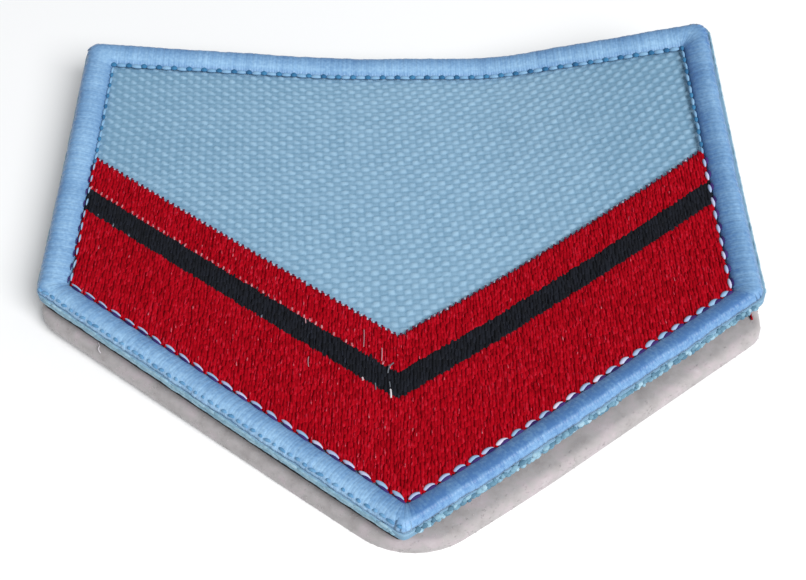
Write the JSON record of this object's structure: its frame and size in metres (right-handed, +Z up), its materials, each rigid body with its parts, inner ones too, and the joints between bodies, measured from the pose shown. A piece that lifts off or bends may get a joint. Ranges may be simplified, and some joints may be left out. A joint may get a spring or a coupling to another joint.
{
  "type": "chest rank patch",
  "caption": "Pentagonal cloth rank patch with an embroidered chevron and satin border, lying face up on the loop half of its fastener.",
  "frame": {"origin": "middle of the whole, on the surface that it lies on", "axes": "+Z up out of the face, +Y from the pointed tip to the straight top edge, +X to the wearer's left, right in the picture"},
  "size_m": [0.1014, 0.0874, 0.0125],
  "materials": {
    "border_thread": "light-blue satin embroidery thread",
    "red_thread": "deep red satin embroidery thread",
    "black_thread": "black satin embroidery thread",
    "ground_cloth": "pale grey-blue coarse plain weave",
    "hook_tape": "black woven nylon hook tape",
    "loop_piece": "light-grey brushed loop pile"
  },
  "bodies": {
    "root": {"border": "border_thread", "upper_red_band": "red_thread", "black_stripe": "black_thread", "lower_red_band": "red_thread", "ground_cloth": "ground_cloth", "hook_tape": "hook_tape", "loop_piece": "loop_piece"}
  },
  "joints": []
}
